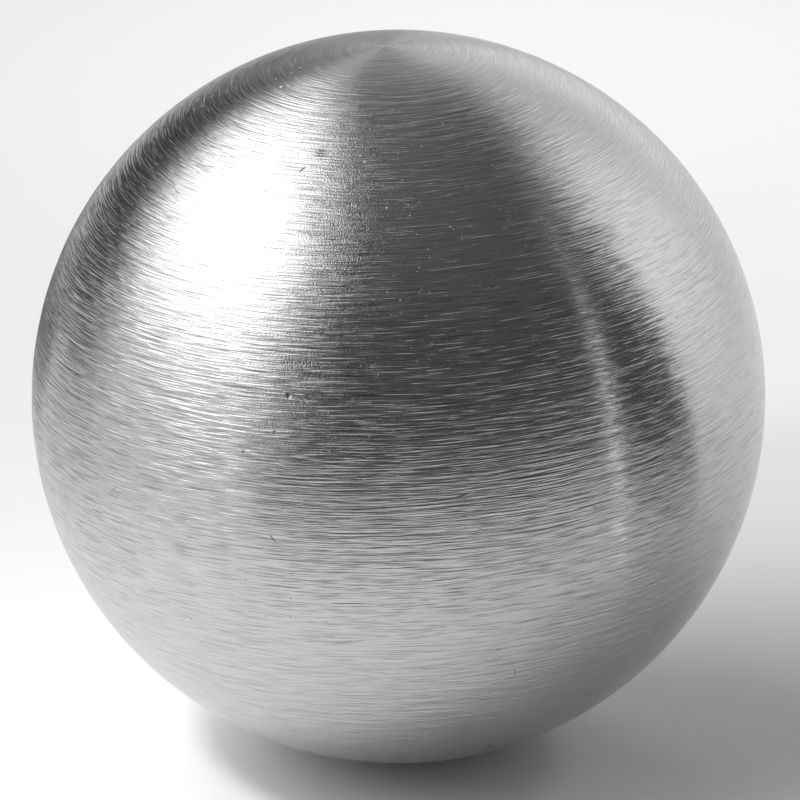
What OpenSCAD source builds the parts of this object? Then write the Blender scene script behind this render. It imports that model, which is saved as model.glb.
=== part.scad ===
// Solid steel ball, ground round, brushed about one axis and lightly knocked by use.
// The ball's centre is the origin, and +Z is the axis that the brushing runs round.
// A place on the surface is given by its turn, the degrees round +Z from the front (-Y)
// towards +X, and its rise, the degrees up from the equator.

/* [Ball] */
// Diameter of the ball
ball_d = 50; // [20:1:100]

/* [Dents] */
// Width of the largest dent, where it meets the ball's surface
dent_w = 0.5; // [0.3:0.05:1.5]
// Depth of the largest dent, under the level of its rim
dent_depth = 0.05; // [0.02:0.01:0.15]

/* [Scratches] */
// Length of the longest scratch
scratch_l = 2; // [1:0.1:4]
// Width of a scratch in its middle
scratch_w = 0.12; // [0.08:0.02:0.4]
// Depth of the longest scratch, under the level of its two ends
scratch_depth = 0.04; // [0.02:0.01:0.1]

/* [Hidden] */
$fn = 180;
ball_r = ball_d / 2;

// Each dent's turn and rise, and its size as a share of the largest one
dents = [
    [-17.5, 20, 1], [-15, 19.5, 0.5], [-16.5, 17, 0.5], [-13.5, 21, 0.4], [-19.5, 14.5, 0.6],
    [-24.5, 11, 0.6], [-11, 12, 0.5], [-15.5, 4.5, 0.5], [-18, 3, 0.5],
    [30, -0.5, 0.6], [11.5, -1, 0.6], [27, 11.5, 0.5], [17, 16, 0.5], [10, 14, 0.4],
    [18, 35, 0.6], [24.5, 25.5, 0.5], [1, -7.5, 0.4], [4.5, -44.5, 0.5], [21, -54.5, 0.9],
    [-72, 76, 0.6], [-60, 71, 0.8], [-53, 74, 0.5]
];

// Each scratch's turn and rise at its middle, its slope from level, and its length as a share
// of the longest one
scratches = [
    [8.5, 4.5, 12, 1], [18.5, -29, -75, 0.5], [-20, -2, -50, 0.5],
    [-49.5, 0.5, 35, 0.5], [-24, 56, 60, 0.4]
];

// How far from the ball's centre a cut's mouth lies, when the mouth is this wide
function mouth_at(width) = sqrt(pow(ball_r, 2) - pow(width / 2, 2));

// Radius of the round tool that leaves a cut this wide, and this deep under its mouth
function tool_r(width, depth) = (pow(width / 2, 2) + pow(depth, 2)) / (2 * depth);

// Carries what is drawn at the origin, with +X as outwards, to a place on the ball
module at_place(turn, rise) {
    rotate([0, 0, turn - 90]) rotate([0, -rise, 0]) children();
}

// A dent: the bite of a round grain, which keeps its proportions when it is smaller
module dent(turn, rise, size) {
    width = dent_w * size;
    depth = dent_depth * size;
    grain_r = tool_r(width, depth);
    at_place(turn, rise)
        translate([mouth_at(width) - depth + grain_r, 0, 0]) sphere(r = grain_r);
}

// A scratch: the V that the rim of a knife-edged wheel leaves, which runs out at both ends
module scratch(turn, rise, slope, size) {
    length = scratch_l * size;
    depth = scratch_depth * size;
    wheel_r = tool_r(length, depth);
    depth_under_crown = ball_r - mouth_at(length) + depth;
    flank = wheel_r * scratch_w / 2 / depth_under_crown;
    at_place(turn, rise)
        rotate([slope, 0, 0])
            translate([mouth_at(length) - depth + wheel_r, 0, 0])
                rotate_extrude() polygon([[0, -flank], [wheel_r, 0], [0, flank]]);
}

// The ball: one solid piece of steel
module ball() {
    color("silver")
        difference() {
            sphere(r = ball_r);
            for (d = dents) dent(d[0], d[1], d[2]);
            for (s = scratches) scratch(s[0], s[1], s[2], s[3]);
        }
}

ball();
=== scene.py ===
"""A brushed steel ball on a sheet of white paper, in soft studio light."""
import math

import bmesh
import bpy
import numpy as np
from mathutils import Matrix, Vector, noise


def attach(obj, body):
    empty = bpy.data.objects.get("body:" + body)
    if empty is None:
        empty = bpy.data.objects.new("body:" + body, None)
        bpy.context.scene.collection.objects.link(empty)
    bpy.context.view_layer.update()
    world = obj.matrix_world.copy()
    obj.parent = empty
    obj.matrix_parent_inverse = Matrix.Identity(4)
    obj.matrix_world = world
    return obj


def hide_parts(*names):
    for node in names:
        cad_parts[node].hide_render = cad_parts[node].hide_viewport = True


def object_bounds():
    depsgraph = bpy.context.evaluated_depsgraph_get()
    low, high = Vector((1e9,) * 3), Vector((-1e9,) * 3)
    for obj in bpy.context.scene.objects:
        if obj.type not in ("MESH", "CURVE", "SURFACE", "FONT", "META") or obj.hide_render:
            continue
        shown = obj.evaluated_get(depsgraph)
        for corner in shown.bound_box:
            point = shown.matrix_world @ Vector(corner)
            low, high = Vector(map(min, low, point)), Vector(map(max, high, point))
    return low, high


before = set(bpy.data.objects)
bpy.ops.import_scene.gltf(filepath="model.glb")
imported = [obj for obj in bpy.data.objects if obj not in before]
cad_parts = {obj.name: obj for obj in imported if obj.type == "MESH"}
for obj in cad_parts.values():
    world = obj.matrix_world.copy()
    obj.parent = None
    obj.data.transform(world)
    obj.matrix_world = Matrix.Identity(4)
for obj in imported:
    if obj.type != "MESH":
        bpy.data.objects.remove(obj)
cad_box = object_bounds()


# ---------------------------------------------------------------------------------------------
# Camera. A long lens looks down on the ball from the front, turned a little about its own line
# of sight, and the ball nearly fills the frame.
camera_distance = 0.45
camera_rise = math.radians(20.1)
camera_roll = math.radians(2.26)
frame_px = 800
outline_px = 734.2
outline_off_centre_px = (-1.45, 3.5)

low, high = cad_box
ball_centre = (low + high) / 2
ball_radius = min(high - low) / 2
half_angle = math.asin(ball_radius / camera_distance)
px_size = camera_distance * math.tan(half_angle) / (outline_px / 2)

to_camera = Vector((0, -math.cos(camera_rise), math.sin(camera_rise)))
level_right = Vector((1, 0, 0))
level_up = to_camera.cross(level_right)
camera_right = level_right * math.cos(camera_roll) - level_up * math.sin(camera_roll)
camera_up = to_camera.cross(camera_right)
off_right, off_up = outline_off_centre_px
aim = ball_centre - px_size * (camera_right * off_right + camera_up * off_up)

camera = bpy.data.objects.new("camera", bpy.data.cameras.new("camera"))
bpy.context.scene.collection.objects.link(camera)
camera.matrix_world = Matrix.Translation(aim + to_camera * camera_distance) @ Matrix(
    (camera_right, camera_up, to_camera)
).transposed().to_4x4()
camera.data.lens = camera.data.sensor_width / (frame_px / outline_px * 2 * math.tan(half_angle))
camera.data.clip_start = 0.05
camera.data.clip_end = 10
bpy.context.scene.camera = camera


# ---------------------------------------------------------------------------------------------
# The ball: one solid piece of steel, ground round and then brushed by a coarse belt while it
# turned about its upright axis, so that every brush mark runs level round it. Knocks from use
# have left small dents and scratches.
skin_radius = 0.02498
rings = 900
sides = 100
groove_depth = 2.4e-6
groove_kinds = (  # cells in a metre along and across the grooves, shift, share of the depth
    (130, 1500, 0, 0.7),
    (210, 3600, 7, 0.3),
)

# Where each knock is: turn is degrees round from the front towards the right, and rise is degrees
# up from the equator.
dent_width = 0.5e-3
dent_depth = 0.05e-3
dent_fineness = 5
dents = (  # turn, rise, share of the full size
    (-17.5, 20, 1), (-15, 19.5, 0.5), (-16.5, 17, 0.5), (-13.5, 21, 0.4), (-19.5, 14.5, 0.6),
    (-24.5, 11, 0.6), (-11, 12, 0.5), (-15.5, 4.5, 0.5), (-18, 3, 0.5), (30, -0.5, 0.6),
    (11.5, -1, 0.6), (27, 11.5, 0.5), (17, 16, 0.5), (10, 14, 0.4), (18, 35, 0.6),
    (24.5, 25.5, 0.5), (1, -7.5, 0.4), (4.5, -44.5, 0.5), (21, -54.5, 0.9), (-72, 76, 0.6),
    (-60, 71, 0.8), (-53, 74, 0.5),
)
specks = (  # turn, rise
    (-82, 75.5), (-70, 74.5), (-71, 72), (-58, 72), (60.5, 25), (53.5, 23), (60, 27.5), (74.5, 8),
    (-25, -9.5), (-18, -12), (-44, -15), (-35.5, -12.5), (-37, -19), (-44.5, -21.5), (-36.5, -23.5),
    (-18.5, -15.5), (2, -8.5), (19, 52), (-1, 49.5), (24, 44), (12.5, 45.5), (1, 34.5), (4.5, 35.5),
    (43.5, 36), (-4, 5), (-17, 20.2), (-25.5, 10.5), (-14.5, 19.2), (13, 24), (33, 41), (-7, 58),
    (28, 55),
)
speck_width = 0.14e-3
speck_depth = 0.025e-3
speck_fineness = 4

scratch_length = 2e-3
scratch_width = 0.12e-3
scratch_depth = 0.04e-3
scratches = (  # turn, rise, slope, share of the full length
    (8.5, 4.5, 12, 1), (18.5, -29, -75, 0.5), (-20, -2, -50, 0.5), (-49.5, 0.5, 35, 0.5),
    (-24, 56, 60, 0.4),
)
hairlines = (  # turn, rise, slope, share of a scratch's length
    (-14.5, 63.5, 0, 0.9), (-1, 28, -3, 1), (-35, 0, 2, 1.1), (-39.5, -2.5, 2, 0.9),
    (21.5, 29, 3, 1.2), (20, 36, 2, 0.8), (-33, -23.5, 0, 0.4), (-13.5, 21.5, -6, 0.35),
    (-19.5, 14.5, -5, 0.3), (-14, 46.5, 30, 0.25), (-25, 10.5, -4, 0.3), (-28, 24, -8, 0.5),
    (4.5, -44.5, 0, 0.4), (-45, 12, -4, 0.6), (38, -12, 5, 0.7),
)
hairline_width = 0.07e-3
hairline_depth = 0.012e-3


def groove_height(point):
    """How far the ground surface stands above or below the round at a point, in metres."""
    arc = math.atan2(point.z, math.hypot(point.x, point.y)) * skin_radius
    height = 0.0
    for along, over, shift, share in groove_kinds:
        spot = Vector((point.x * along + shift, point.y * along, arc * over))
        height += share * noise.noise(spot)
    return groove_depth * height


def at_place(turn, rise):
    """Stands a tool on the ball, with its local X pointing straight out at this turn and rise."""
    turned = Matrix.Rotation(math.radians(turn - 90), 4, "Z")
    return turned @ Matrix.Rotation(-math.radians(rise), 4, "Y")


rises = np.pi * (np.arange(1, rings) / rings - 0.5)
turns = 2 * np.pi * np.arange(sides) / sides
rise_grid, turn_grid = np.meshgrid(rises, turns, indexing="ij")
level_out = np.cos(rise_grid)
outward = [level_out * np.sin(turn_grid), -level_out * np.cos(turn_grid), np.sin(rise_grid)]
outward = np.stack(outward, axis=-1)
outward = np.concatenate([outward.reshape(-1, 3), [[0, 0, -1], [0, 0, 1]]])
heights = np.array([groove_height(Vector(way) * skin_radius) for way in outward])
points = outward * (skin_radius - groove_depth + heights)[:, None]

ring_start = np.arange(rings - 2)[:, None] * sides
side = np.arange(sides)[None, :]
next_side = (side + 1) % sides
over = ring_start + sides
quads = [ring_start + side, ring_start + next_side, over + next_side, over + side]
quads = np.stack(quads, axis=-1).reshape(-1, 4)
south, north = len(points) - 2, len(points) - 1
top_ring = (rings - 2) * sides
caps = [(south, (i + 1) % sides, i) for i in range(sides)]
caps += [(north, top_ring + i, top_ring + (i + 1) % sides) for i in range(sides)]

round_mesh = bpy.data.meshes.new("round")
round_mesh.from_pydata(points.tolist(), [], quads.tolist() + caps)
round_ball = bpy.data.objects.new("round", round_mesh)
bpy.context.scene.collection.objects.link(round_ball)

# The knocks are cut as hard grains and wheels would leave them: a round grain for each dent and
# speck, and for each scratch and hairline a thin wheel with a sharp rim, which has most of its
# corners where it bites.
bite_overlap = 1.6
bite_steps = 25
rest_steps = 12
knocks = bmesh.new()
grains = []
grain_cuts = [
    (turn, rise, dent_width * share, dent_depth * share, dent_fineness)
    for turn, rise, share in dents
]
grain_cuts += [(turn, rise, speck_width, speck_depth, speck_fineness) for turn, rise in specks]
for turn, rise, width, depth, fineness in grain_cuts:
    grain_radius = (width ** 2 / 4 + depth ** 2) / (2 * depth)
    reach = math.sqrt(skin_radius ** 2 - width ** 2 / 4) - depth + grain_radius
    place = at_place(turn, rise) @ Matrix.Translation((reach, 0, 0))
    bmesh.ops.create_icosphere(knocks, subdivisions=fineness, radius=grain_radius, matrix=place)
    grains.append((*place.translation, grain_radius))
wheel_cuts = [(*place, share, scratch_width, scratch_depth) for *place, share in scratches]
wheel_cuts += [(*place, share, hairline_width, hairline_depth) for *place, share in hairlines]
for turn, rise, slope, share, width, depth in wheel_cuts:
    half_length = scratch_length * share / 2
    mouth = math.sqrt(skin_radius ** 2 - half_length ** 2)
    wheel_radius = (half_length ** 2 + depth ** 2) / (2 * depth)
    flank = wheel_radius * width / 2 / (skin_radius - mouth + depth)
    place = at_place(turn, rise) @ Matrix.Rotation(math.radians(slope), 4, "X")
    place = place @ Matrix.Translation((mouth - depth + wheel_radius, 0, 0))
    bite = bite_overlap * math.asin(half_length / wheel_radius)
    rest = np.linspace(bite, 2 * math.pi - bite, rest_steps)[1:-1]
    rim = []
    for angle in np.concatenate([np.linspace(-bite, bite, bite_steps), rest]):
        spot = Vector((-wheel_radius * math.cos(angle), wheel_radius * math.sin(angle), 0))
        rim.append(knocks.verts.new(place @ spot))
    tips = [knocks.verts.new(place @ Vector((0, 0, z))) for z in (flank, -flank)]
    for here, there in zip(rim, rim[1:] + rim[:1]):
        knocks.faces.new((tips[0], there, here))
        knocks.faces.new((tips[1], here, there))
bmesh.ops.recalc_face_normals(knocks, faces=knocks.faces)
knock_mesh = bpy.data.meshes.new("knocks")
knocks.to_mesh(knock_mesh)
knocks.free()
knock_tool = bpy.data.objects.new("knocks", knock_mesh)
bpy.context.scene.collection.objects.link(knock_tool)

brushed = bpy.data.materials.new("brushed_steel")
knocked = bpy.data.materials.new("knocked_steel")
round_mesh.materials.append(brushed)
knock_mesh.materials.append(knocked)
cut = round_ball.modifiers.new("knocks", "BOOLEAN")
cut.operation = "DIFFERENCE"
cut.solver = "MANIFOLD"
cut.material_mode = "TRANSFER"
cut.object = knock_tool
cut_ball = round_ball.evaluated_get(bpy.context.evaluated_depsgraph_get())
ball_mesh = bpy.data.meshes.new_from_object(cut_ball)
ball_mesh.name = "brushed_ball"
for maker in (round_ball, knock_tool):
    bpy.data.objects.remove(maker)
ball = bpy.data.objects.new("brushed_ball", ball_mesh)
bpy.context.scene.collection.objects.link(ball)

# Every corner gets the true direction of the surface there: that of the ground skin, of the grain
# that left the dent, or of the flat side of a scratch.
places = np.empty(len(ball_mesh.vertices) * 3, np.float32)
ball_mesh.vertices.foreach_get("co", places)
places = places.reshape(-1, 3).astype(float)
probe = 2e-5
grain_match = 3e-6
pole_reach = 1e-7
skin_ways = []
for place in places:
    way = Vector(place).normalized()
    level = Vector((-way.y, way.x, 0))
    level = level.normalized() if level.length > 1e-9 else Vector((1, 0, 0))
    upward = way.cross(level)
    here = way * skin_radius
    climb = groove_height(here + upward * probe) - groove_height(here - upward * probe)
    skin_ways.append((way - upward * (climb / (2 * probe))).normalized())
skin_ways = np.array(skin_ways)
grains = np.array(grains)

corner_vertex = np.empty(len(ball_mesh.loops), np.int32)
ball_mesh.loops.foreach_get("vertex_index", corner_vertex)
face_start = np.empty(len(ball_mesh.polygons), np.int32)
face_corners = np.empty(len(ball_mesh.polygons), np.int32)
face_material = np.empty(len(ball_mesh.polygons), np.int32)
ball_mesh.polygons.foreach_get("loop_start", face_start)
ball_mesh.polygons.foreach_get("loop_total", face_corners)
ball_mesh.polygons.foreach_get("material_index", face_material)
corner_ways = skin_ways[corner_vertex]
for face in np.nonzero(face_material)[0]:
    corners = slice(face_start[face], face_start[face] + face_corners[face])
    spots = places[corner_vertex[corners]]
    off_grain = np.linalg.norm(spots[:, None] - grains[None, :, :3], axis=2) - grains[None, :, 3]
    nearest = np.abs(off_grain).max(axis=0).argmin()
    if np.abs(off_grain[:, nearest]).max() < grain_match:
        inward = grains[nearest, :3] - spots
        corner_ways[corners] = inward / np.linalg.norm(inward, axis=1)[:, None]
    else:
        corner_ways[corners] = ball_mesh.polygons[face].normal
ball_mesh.shade_smooth()
ball_mesh.normals_split_custom_set(corner_ways.tolist())

# The map for the finish: across is the turn and up is the rise, so the brush marks run across it.
corner_places = places[corner_vertex]
across = np.arctan2(corner_places[:, 0], -corner_places[:, 1]) / (2 * np.pi) + 0.5
from_axis = np.hypot(corner_places[:, 0], corner_places[:, 1])
up = np.arctan2(corner_places[:, 2], from_axis) / np.pi + 0.5
on_pole = from_axis < pole_reach
for start, count in zip(face_start, face_corners):
    corners = slice(start, start + count)
    here = across[corners]
    if here.max() - here.min() > 0.5:
        here[here < 0.5] += 1
    if on_pole[corners].any():
        here[on_pole[corners]] = here[~on_pole[corners]].mean()
finish_map = ball_mesh.uv_layers.new(name="OFBake")
finish_map.data.foreach_set("uv", np.stack([across, up], axis=1).astype(np.float32).ravel())


def node_math(tree, operation, *values):
    """One sum in a node tree, of numbers or of what other nodes put out."""
    node = tree.nodes.new("ShaderNodeMath")
    node.operation = operation
    for place, value in zip(node.inputs, values):
        if isinstance(value, bpy.types.NodeSocket):
            tree.links.new(value, place)
        else:
            place.default_value = value
    return node.outputs[0]


def node_step(tree, value, start, end):
    """Goes smoothly from 0 to 1 as the value goes from start to end."""
    node = tree.nodes.new("ShaderNodeMapRange")
    node.interpolation_type = "SMOOTHSTEP"
    node.inputs["From Min"].default_value = start
    node.inputs["From Max"].default_value = end
    tree.links.new(value, node.inputs["Value"])
    return node.outputs["Result"]


drift_scale = 0.12


def new_grooves_group():
    """Grooves that run level round the ball, from 0 to 1 high. The position, their length and
    pitch, and the drift by which they wander off the level, are in millimetres."""
    group = bpy.data.node_groups.new("Level grooves", "ShaderNodeTree")
    socket = group.interface.new_socket
    socket("Position", in_out="INPUT", socket_type="NodeSocketVector")
    for name, value in (("Length", 1), ("Pitch", 0.1), ("Drift", 0.1), ("Seed", 0)):
        socket(name, in_out="INPUT", socket_type="NodeSocketFloat").default_value = value
    socket("Height", in_out="OUTPUT", socket_type="NodeSocketFloat")
    given = group.nodes.new("NodeGroupInput").outputs
    made = group.nodes.new("NodeGroupOutput").inputs

    def noise_at(position, scale, detail):
        node = group.nodes.new("ShaderNodeTexNoise")
        node.noise_dimensions = "4D"
        node.inputs["Scale"].default_value = scale
        node.inputs["Detail"].default_value = detail
        group.links.new(position, node.inputs["Vector"])
        group.links.new(given["Seed"], node.inputs["W"])
        return node.outputs[0]

    split = group.nodes.new("ShaderNodeSeparateXYZ")
    group.links.new(given["Position"], split.inputs[0])
    x, y, z = split.outputs
    wander = noise_at(given["Position"], drift_scale, 1)
    wander = node_math(group, "SUBTRACT", wander, 0.5)
    from_axis = node_math(group, "MULTIPLY_ADD", x, x, node_math(group, "MULTIPLY", y, y))
    from_axis = node_math(group, "SQRT", from_axis)
    climb = node_math(group, "ARCTAN2", z, from_axis)
    arc = node_math(group, "MULTIPLY", climb, skin_radius * 1000)
    arc = node_math(group, "MULTIPLY_ADD", wander, given["Drift"], arc)
    drawn_out = group.nodes.new("ShaderNodeCombineXYZ")
    for place, value, step in zip(drawn_out.inputs, (x, y, arc), ("Length", "Length", "Pitch")):
        group.links.new(node_math(group, "DIVIDE", value, given[step]), place)
    group.links.new(noise_at(drawn_out.outputs[0], 1, 0), made["Height"])
    return group


def new_patch_group():
    """A round patch of the ball: 1 inside the inner radius and 0 outside the outer one. All of it
    is in millimetres."""
    group = bpy.data.node_groups.new("Patch", "ShaderNodeTree")
    socket = group.interface.new_socket
    socket("Position", in_out="INPUT", socket_type="NodeSocketVector")
    socket("Centre", in_out="INPUT", socket_type="NodeSocketVector")
    socket("Inner", in_out="INPUT", socket_type="NodeSocketFloat")
    socket("Outer", in_out="INPUT", socket_type="NodeSocketFloat")
    socket("Mask", in_out="OUTPUT", socket_type="NodeSocketFloat")
    given = group.nodes.new("NodeGroupInput").outputs
    made = group.nodes.new("NodeGroupOutput").inputs
    off = group.nodes.new("ShaderNodeVectorMath")
    off.operation = "DISTANCE"
    group.links.new(given["Position"], off.inputs[0])
    group.links.new(given["Centre"], off.inputs[1])
    past = node_math(group, "SUBTRACT", off.outputs["Value"], given["Inner"])
    fade = node_math(group, "SUBTRACT", given["Outer"], given["Inner"])
    past = node_math(group, "DIVIDE", past, fade)
    group.links.new(node_step(group, past, 1, 0), made["Mask"])
    return group


grooves = new_grooves_group()
patch = new_patch_group()

# The finish, with all its lengths, pitches, widths and depths in millimetres: brush marks of five
# kinds, cut lines that break off, grain, pits, and dirt that sits in the grooves and in smudges.
brush_marks = (  # length, pitch, drift, seed and depth
    (1.2, 0.08, 0.1, 1, 0.017),
    (2.5, 0.09, 0.2, 2, 0.022),
    (6.0, 0.12, 0.3, 3, 0.025),
    (4.0, 0.20, 0.35, 8, 0.024),
    (9.0, 0.40, 0.5, 4, 0.035),
)
end_marks_share = 0.35
end_marks_radii = (2, 14)
cut_mark = (5.0, 0.16, 0.4, 5)
cut_width = 0.07
cut_depth = 0.012
cut_breaks = (2.0, 0.12, 0.2, 7)
cut_break_edge = (0.38, 0.58)
stain_mark = (2.2, 0.06, 0.3, 6)
stain_edge = (0.52, 0.66)
steel_white = 0.6
stain_share = 0.4
stain_fades = (  # from this height to this, down to this share
    (11, 16, 0.2),
    (3, -10, 0.5),
)
clean_patch = (68, 25, 6, 13)  # turn, rise, inner and outer radius
clean_patch_share = 0.35
smudges = (  # turn, rise, outer radius
    (21, -54.5, 0.6),
    (-20.5, 59.3, 0.7),
    (-17.4, 20.1, 0.4),
)
smudge_share = 0.8
smudge_edge = (0.4, 0.55)
grain_pitch = 0.09
grain_depth = 0.003
grainy_patch = (-18, 42, 10, 17)  # turn, rise, inner and outer radius
grainy_depth = 0.017
brush_roughness = (0.20, 0.26)
roughness_edge = (0.35, 0.65)
pit_pitch = 0.45
pit_size = 0.045
pit_depth = 0.02

brushed.use_nodes = True
tree = brushed.node_tree
shader = tree.nodes["Principled BSDF"]
shader.inputs["Metallic"].default_value = 1.0
shader.inputs["Anisotropic"].default_value = 0.9
shader.inputs["Anisotropic Rotation"].default_value = 0.25
where = tree.nodes.new("ShaderNodeTexCoord")
in_mm = tree.nodes.new("ShaderNodeVectorMath")
in_mm.operation = "SCALE"
in_mm.inputs["Scale"].default_value = 1000
tree.links.new(where.outputs["Object"], in_mm.inputs[0])


def marks(length, pitch, drift, seed):
    """One kind of brush mark on the steel."""
    node = tree.nodes.new("ShaderNodeGroup")
    node.node_tree = grooves
    tree.links.new(in_mm.outputs[0], node.inputs["Position"])
    for name, value in (("Length", length), ("Pitch", pitch), ("Drift", drift), ("Seed", seed)):
        node.inputs[name].default_value = value
    return node.outputs["Height"]


def patch_at(turn, rise, inner, outer):
    """Where a patch of the steel is, round a place at this turn and rise."""
    node = tree.nodes.new("ShaderNodeGroup")
    node.node_tree = patch
    tree.links.new(in_mm.outputs[0], node.inputs["Position"])
    node.inputs["Centre"].default_value = at_place(turn, rise) @ Vector((skin_radius * 1000, 0, 0))
    node.inputs["Inner"].default_value = inner
    node.inputs["Outer"].default_value = outer
    return node.outputs["Mask"]


relief = 0.0
for *kind, depth in brush_marks:
    relief = node_math(tree, "MULTIPLY_ADD", marks(*kind), depth, relief)
split = tree.nodes.new("ShaderNodeSeparateXYZ")
tree.links.new(in_mm.outputs[0], split.inputs[0])
x, y, z = split.outputs
from_axis = node_math(tree, "MULTIPLY_ADD", x, x, node_math(tree, "MULTIPLY", y, y))
from_axis = node_math(tree, "SQRT", from_axis)
off_end = node_step(tree, from_axis, *end_marks_radii)
marks_share = node_math(tree, "MULTIPLY_ADD", off_end, 1 - end_marks_share, end_marks_share)
relief = node_math(tree, "MULTIPLY", relief, marks_share)
off_line = node_math(tree, "ABSOLUTE", node_math(tree, "SUBTRACT", marks(*cut_mark), 0.5))
cut = node_math(tree, "SUBTRACT", 1, node_math(tree, "DIVIDE", off_line, cut_width))
cut = node_math(tree, "MAXIMUM", cut, 0)
cut = node_math(tree, "MULTIPLY", cut, node_step(tree, marks(*cut_breaks), *cut_break_edge))
cut = node_math(tree, "MULTIPLY", cut, marks_share)
relief = node_math(tree, "MULTIPLY_ADD", cut, -cut_depth, relief)
grain = tree.nodes.new("ShaderNodeTexNoise")
grain.inputs["Scale"].default_value = 1 / grain_pitch
grain.inputs["Detail"].default_value = 1.0
tree.links.new(in_mm.outputs[0], grain.inputs["Vector"])
depth = node_math(tree, "MULTIPLY_ADD", patch_at(*grainy_patch), grainy_depth, grain_depth)
relief = node_math(tree, "MULTIPLY_ADD", grain.outputs[0], depth, relief)
rough = tree.nodes.new("ShaderNodeMapRange")
rough.inputs["From Min"].default_value = roughness_edge[0]
rough.inputs["From Max"].default_value = roughness_edge[1]
rough.inputs["To Min"].default_value = brush_roughness[0]
rough.inputs["To Max"].default_value = brush_roughness[1]
stain_height = marks(*stain_mark)
tree.links.new(stain_height, rough.inputs["Value"])
tree.links.new(rough.outputs["Result"], shader.inputs["Roughness"])
pits = tree.nodes.new("ShaderNodeTexVoronoi")
pits.inputs["Scale"].default_value = 1 / pit_pitch
tree.links.new(in_mm.outputs[0], pits.inputs["Vector"])
pit = node_step(tree, pits.outputs["Distance"], 0, pit_size / pit_pitch)
relief = node_math(tree, "MULTIPLY_ADD", pit, pit_depth, relief)
bump = tree.nodes.new("ShaderNodeBump")
bump.inputs["Distance"].default_value = 0.001  # metres for each millimetre of relief
tree.links.new(relief, bump.inputs["Height"])
tree.links.new(bump.outputs[0], shader.inputs["Normal"])

stain = node_step(tree, stain_height, *stain_edge)
for start, end, left in stain_fades:
    kept = node_math(tree, "MULTIPLY_ADD", node_step(tree, z, start, end), left - 1, 1)
    stain = node_math(tree, "MULTIPLY", stain, kept)
kept = node_math(tree, "MULTIPLY_ADD", patch_at(*clean_patch), clean_patch_share - 1, 1)
stain = node_math(tree, "MULTIPLY", stain, kept)
white = node_math(tree, "MULTIPLY_ADD", stain, -stain_share * steel_white, steel_white)
streak = node_step(tree, stain_height, *smudge_edge)
for turn, rise, outer in smudges:
    dirt = node_math(tree, "MULTIPLY", patch_at(turn, rise, 0, outer), streak)
    clean = node_math(tree, "MULTIPLY_ADD", dirt, -smudge_share, 1)
    white = node_math(tree, "MULTIPLY", white, clean)
tree.links.new(white, shader.inputs["Base Color"])

# Inside a knock the steel is a little darker, which is painted shade in the hollow, and has no
# brush marks.
knock_shade_white = 0.45
knocked_roughness = 0.3
knocked.use_nodes = True
shader = knocked.node_tree.nodes["Principled BSDF"]
shader.inputs["Metallic"].default_value = 1.0
shader.inputs["Base Color"].default_value = (knock_shade_white, knock_shade_white, knock_shade_white, 1)
shader.inputs["Roughness"].default_value = knocked_roughness

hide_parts("ball")
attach(ball, "root")


# ---------------------------------------------------------------------------------------------
# The paper: a large sheet of thick white paper on the table, whose front edge is a little in
# front of the ball and runs askew to it.
paper_front = -0.1
paper_askew = math.radians(12)
paper_reach = 1.5
paper_white = 0.8
paper_glow = 0.01

paper_mesh = bpy.data.meshes.new("paper")
paper_mesh.from_pydata(
    [
        (-paper_reach, paper_front - paper_reach * math.tan(paper_askew), -ball_radius),
        (paper_reach, paper_front + paper_reach * math.tan(paper_askew), -ball_radius),
        (paper_reach, paper_reach, -ball_radius),
        (-paper_reach, paper_reach, -ball_radius),
    ],
    [],
    [(0, 1, 2, 3)],
)
paper = bpy.data.objects.new("paper", paper_mesh)
bpy.context.scene.collection.objects.link(paper)

thick_paper = bpy.data.materials.new("thick_paper")
thick_paper.use_nodes = True
nodes, links = thick_paper.node_tree.nodes, thick_paper.node_tree.links
nodes.clear()
output = nodes.new("ShaderNodeOutputMaterial")
diffuse = nodes.new("ShaderNodeBsdfDiffuse")
diffuse.inputs["Color"].default_value = (paper_white, paper_white, paper_white, 1)
glow = nodes.new("ShaderNodeEmission")
glow.inputs["Strength"].default_value = paper_glow
both = nodes.new("ShaderNodeAddShader")
links.new(diffuse.outputs[0], both.inputs[0])
links.new(glow.outputs[0], both.inputs[1])
links.new(both.outputs[0], output.inputs["Surface"])
paper_mesh.materials.append(thick_paper)


# ---------------------------------------------------------------------------------------------
# The things that stand round the ball: three small lamps that light the paper, a dark card on the
# right with a painted streak of light beside it, and a dark screen at the back left. The ball
# mirrors the last three, which the camera doesn't see and which throw no shade on the paper.
def towards(turn):
    """The level way that points out from the ball's axis at this turn, in degrees."""
    turn = math.radians(turn)
    return Vector((math.sin(turn), -math.cos(turn), 0))


lamps = {  # turn, distance, height above the table and size in mm, watts, whether it points down
    "paper_lamp": (-65, 61, 76, 13, 0.044, False),
    "side_lamp": (112, 140, 110, 40, 0.032, True),
    "back_lamp": (175, 160, 110, 60, 0.042, True),
}
for name, (turn, distance, height, size, watts, points_down) in lamps.items():
    lamp_data = bpy.data.lights.new(name, "AREA")
    lamp_data.shape = "DISK"
    lamp_data.size = size / 1000
    lamp_data.energy = watts
    lamp = bpy.data.objects.new(name, lamp_data)
    lamp.visible_glossy = False
    lamp.visible_camera = False
    spot = (towards(turn) * distance + Vector((0, 0, height))) / 1000 - Vector((0, 0, ball_radius))
    back = Vector((0, 0, 1)) if points_down else spot
    aim_back = back.to_track_quat("Z", "Y").to_matrix().to_4x4()
    lamp.matrix_world = Matrix.Translation(spot) @ aim_back
    bpy.context.scene.collection.objects.link(lamp)

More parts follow.
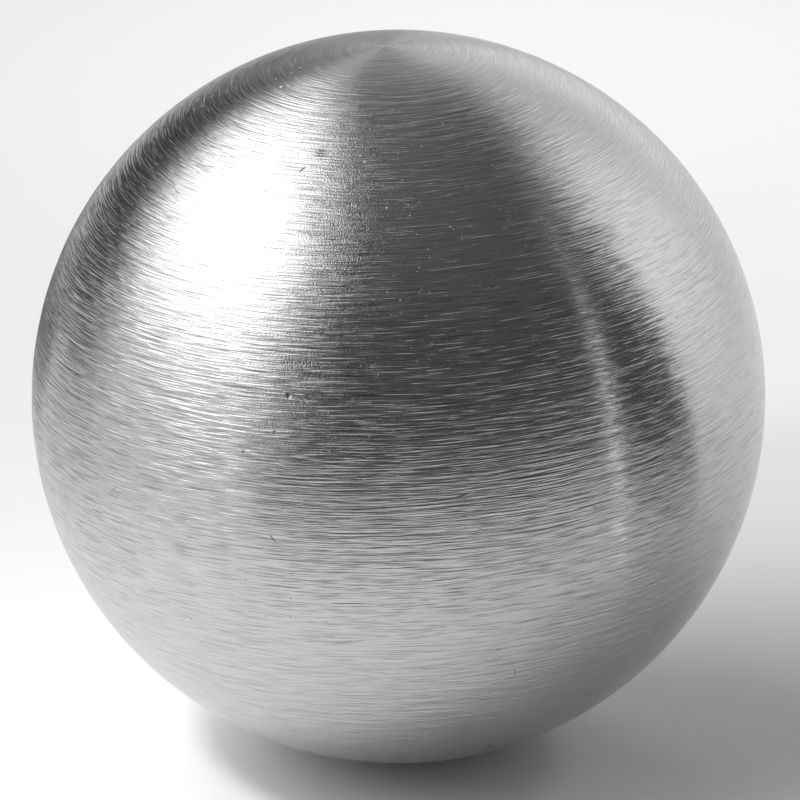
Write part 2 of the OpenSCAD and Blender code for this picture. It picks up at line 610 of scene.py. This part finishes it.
stands = {  # glow, then rows of turn, distance, height above the table and width, in mm
    "dark_card": (0.055, ((77, 90, 0, 50), (75, 90, 40, 34))),
    "dark_screen": (0.2, ((-155, 100, 0, 90), (-155, 100, 22, 90))),
    # Painted light: a glowing strip that lies on the paper and climbs up beside the dark card,
    # where a streak of light falls past the card's edge. It lights nothing.
    "painted_light_streak": (2.3, (
        (59, 50, 0.2, 0.2), (60.5, 66, 0.2, 1.2), (61.5, 82, 0.2, 1.6), (61, 90, 0.2, 2),
        (60.3, 90, 20, 2), (60.3, 90, 36, 2), (61.3, 90, 52, 2), (62.3, 90, 61, 1.6),
        (63.5, 90, 70, 1.2), (65, 90, 81, 0.8), (67, 90, 92, 0.4),
    )),
}
for name, (glow, rows) in stands.items():
    corners = []
    for turn, distance, height, width in rows:
        way = towards(turn)
        half = Vector((-way.y, way.x, 0)) * width / 2
        spot = way * distance + Vector((0, 0, height))
        corners += [(spot - half) / 1000, (spot + half) / 1000]
    corners = [corner - Vector((0, 0, ball_radius)) for corner in corners]
    mesh = bpy.data.meshes.new(name)
    mesh.from_pydata(corners, [], [(i, i + 1, i + 3, i + 2) for i in range(0, len(corners) - 2, 2)])
    stand = bpy.data.objects.new(name, mesh)
    stand.visible_camera = False
    stand.visible_diffuse = False
    stand.visible_shadow = False
    bpy.context.scene.collection.objects.link(stand)
    finish = bpy.data.materials.new(name)
    finish.use_nodes = True
    nodes, links = finish.node_tree.nodes, finish.node_tree.links
    nodes.clear()
    shine = nodes.new("ShaderNodeEmission")
    shine.inputs["Strength"].default_value = glow
    output = nodes.new("ShaderNodeOutputMaterial")
    links.new(shine.outputs[0], output.inputs["Surface"])
    mesh.materials.append(finish)


# ---------------------------------------------------------------------------------------------
# The room: a large soft box on the left, a pale wall on the right, and a dim ceiling. They are
# soft patches of light on a wide dome, which lights the ball and the paper and isn't seen itself.
def new_panel_group():
    """A mask that is 1 inside a panel of the room, with soft edges. Turn and rise are in degrees,
    and a slant is how far an edge rises for each degree of turn."""
    group = bpy.data.node_groups.new("Soft panel", "ShaderNodeTree")
    socket = group.interface.new_socket
    for name, value in (
        ("Turn", 0), ("Rise", 0), ("Middle", 0), ("Width", 90), ("Bottom", 0), ("Top", 45),
        ("Left Soft", 5), ("Right Soft", 5), ("Bottom Soft", 5), ("Top Soft", 5),
        ("Bottom Slant", 0), ("Top Slant", 0),
    ):
        socket(name, in_out="INPUT", socket_type="NodeSocketFloat").default_value = value
    socket("Mask", in_out="OUTPUT", socket_type="NodeSocketFloat")
    given = group.nodes.new("NodeGroupInput").outputs
    made = group.nodes.new("NodeGroupOutput").inputs
    off = node_math(group, "SUBTRACT", given["Turn"], given["Middle"])
    off = node_math(group, "WRAP", off, 180, -180)
    half = node_math(group, "MULTIPLY", given["Width"], 0.5)
    bottom = node_math(group, "MULTIPLY_ADD", given["Bottom Slant"], off, given["Bottom"])
    top = node_math(group, "MULTIPLY_ADD", given["Top Slant"], off, given["Top"])
    total = 1.0
    for inside, softness in (
        (node_math(group, "ADD", half, off), given["Left Soft"]),
        (node_math(group, "SUBTRACT", half, off), given["Right Soft"]),
        (node_math(group, "SUBTRACT", given["Rise"], bottom), given["Bottom Soft"]),
        (node_math(group, "SUBTRACT", top, given["Rise"]), given["Top Soft"]),
    ):
        inside = node_math(group, "DIVIDE", inside, softness)
        total = node_math(group, "MULTIPLY", total, node_step(group, inside, -0.5, 0.5))
    group.links.new(total, made["Mask"])
    return group


room_panels = {  # middle, width, bottom, top, softness of the four, slant of the last two, strength
    "soft box": (-100, 96, 30, 67, 25, 27, 28, 16, -0.085, 0.1, 3.5),
    "soft box skirt": (-78, 64, -10, 30, 30, 30, 20, 10, 0, 0, 0.68),
    "pale wall": (121.5, 49, -60, 47, 5, 50, 10, 22, 0, -0.15, 1.01),
    "wall end": (160, 28, -60, 30, 40, 25, 10, 60, 0, 1, 0.88),
    "backdrop": (175, 14, -60, 35, 5, 12, 10, 10, 0, -0.3, 0.28),
    "bench": (10, 130, -60, 4, 20, 20, 10, 16, 0, 0, 0.1),
    "back fill": (-172, 18, 5, 52, 10, 10, 20, 20, 0, 0, 0.2),
}
room_radius = 3
dark_glow = 0.052  # the room's own, everywhere
ceiling_glow, ceiling_bottom, ceiling_softness = 0.05, 35, 40
top_glow, top_bottom, top_softness = 0.08, 75, 30

dome_mesh = bpy.data.meshes.new("room")
dome_shape = bmesh.new()
bmesh.ops.create_icosphere(dome_shape, subdivisions=3, radius=room_radius)
dome_shape.to_mesh(dome_mesh)
dome_shape.free()
dome = bpy.data.objects.new("room", dome_mesh)
dome.visible_camera = False
bpy.context.scene.collection.objects.link(dome)

lit_wall = bpy.data.materials.new("lit_wall")
lit_wall.use_nodes = True
dome_mesh.materials.append(lit_wall)
lit_wall.cycles.emission_sampling = "NONE"
tree = lit_wall.node_tree
nodes, links = tree.nodes, tree.links
nodes.clear()
place = nodes.new("ShaderNodeTexCoord")
from_ball = nodes.new("ShaderNodeVectorMath")
from_ball.operation = "NORMALIZE"
links.new(place.outputs["Object"], from_ball.inputs[0])
parts = nodes.new("ShaderNodeSeparateXYZ")
links.new(from_ball.outputs[0], parts.inputs[0])
ahead = node_math(tree, "MULTIPLY", parts.outputs["Y"], -1)
turn = node_math(tree, "ARCTAN2", parts.outputs["X"], ahead)
turn = node_math(tree, "DEGREES", turn)
rise = node_math(tree, "DEGREES", node_math(tree, "ARCSINE", parts.outputs["Z"]))
light = dark_glow
for glow, bottom, softness in (
    (ceiling_glow, ceiling_bottom, ceiling_softness),
    (top_glow, top_bottom, top_softness),
):
    over = node_step(tree, rise, bottom - softness / 2, bottom + softness / 2)
    light = node_math(tree, "MULTIPLY_ADD", over, glow, light)
panel_group = new_panel_group()
for name, (*shape, gain) in room_panels.items():
    panel = nodes.new("ShaderNodeGroup")
    panel.node_tree = panel_group
    panel.label = name
    for socket, value in zip(panel.inputs, (turn, rise, *shape)):
        if isinstance(value, bpy.types.NodeSocket):
            links.new(value, socket)
        else:
            socket.default_value = value
    light = node_math(tree, "MULTIPLY_ADD", panel.outputs["Mask"], gain, light)

glow = nodes.new("ShaderNodeEmission")
output = nodes.new("ShaderNodeOutputMaterial")
links.new(light, glow.inputs["Strength"])
links.new(glow.outputs[0], output.inputs["Surface"])

# Past the paper the eye sees plain white, which the room keeps off the ball.
world = bpy.data.worlds.new("white")
bpy.context.scene.world = world
world.use_nodes = True
world.node_tree.nodes["Background"].inputs["Color"].default_value = (1, 1, 1, 1)
world.cycles.sampling_method = "NONE"

bpy.context.scene.view_settings.view_transform = "Standard"
